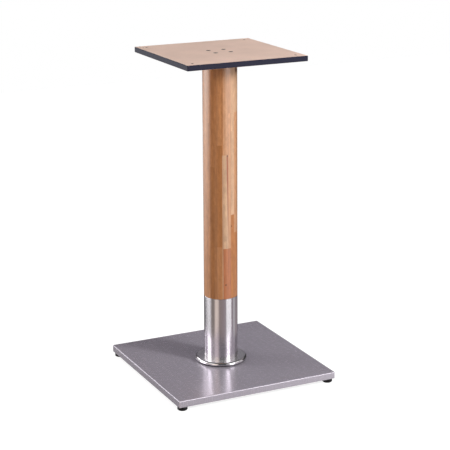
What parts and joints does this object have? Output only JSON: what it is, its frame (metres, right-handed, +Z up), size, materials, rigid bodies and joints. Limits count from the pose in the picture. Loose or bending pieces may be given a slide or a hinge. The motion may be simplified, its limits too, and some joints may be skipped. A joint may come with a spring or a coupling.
{
  "type": "table base",
  "caption": "Pedestal table base: a square stainless foot on levelling glides, a turned wood column in a steel sleeve, and a square plate that a table top screws to.",
  "frame": {"origin": "on the floor under the middle of the column", "axes": "+Z up along the column, X and Y along the sides of the base"},
  "size_m": [0.38, 0.38, 0.73],
  "materials": {
    "decor_plate": "matt tan decor face on a near black core",
    "dark_steel": "black oxide",
    "column_wood": "satin lacquer on glued staves",
    "brushed_stainless": "brushed",
    "polished_steel": "mirror polished",
    "zinc_steel": "zinc plated",
    "glide_plastic": "fine moulded grain"
  },
  "bodies": {
    "stand": {"top_plate": "decor_plate", "plate_screws": "dark_steel", "wood_column": "column_wood", "column_sleeve": "brushed_stainless", "base_cover": "brushed_stainless", "collar_ring": "polished_steel", "column_cap": "zinc_steel", "cap_nut": "zinc_steel", "tie_rod": "zinc_steel", "sleeve_locator": "zinc_steel", "ballast_plate": "zinc_steel", "clamp_washer": "zinc_steel", "clamp_nut": "zinc_steel", "foot_nuts": "zinc_steel"},
    "foot_1": {"foot_pad_1": "glide_plastic", "foot_stud_1": "zinc_steel"},
    "foot_2": {"foot_pad_2": "glide_plastic", "foot_stud_2": "zinc_steel"},
    "foot_3": {"foot_pad_3": "glide_plastic", "foot_stud_3": "zinc_steel"},
    "foot_4": {"foot_pad_4": "glide_plastic", "foot_stud_4": "zinc_steel"}
  },
  "joints": [
    {"name": "foot_1_screw", "type": "slide", "parent": "stand", "child": "foot_1", "axis": [0, 0, 1], "range_m": [-0.008, 0]},
    {"name": "foot_2_screw", "type": "slide", "parent": "stand", "child": "foot_2", "axis": [0, 0, 1], "range_m": [-0.008, 0]},
    {"name": "foot_3_screw", "type": "slide", "parent": "stand", "child": "foot_3", "axis": [0, 0, 1], "range_m": [-0.008, 0]},
    {"name": "foot_4_screw", "type": "slide", "parent": "stand", "child": "foot_4", "axis": [0, 0, 1], "range_m": [-0.008, 0]}
  ]
}
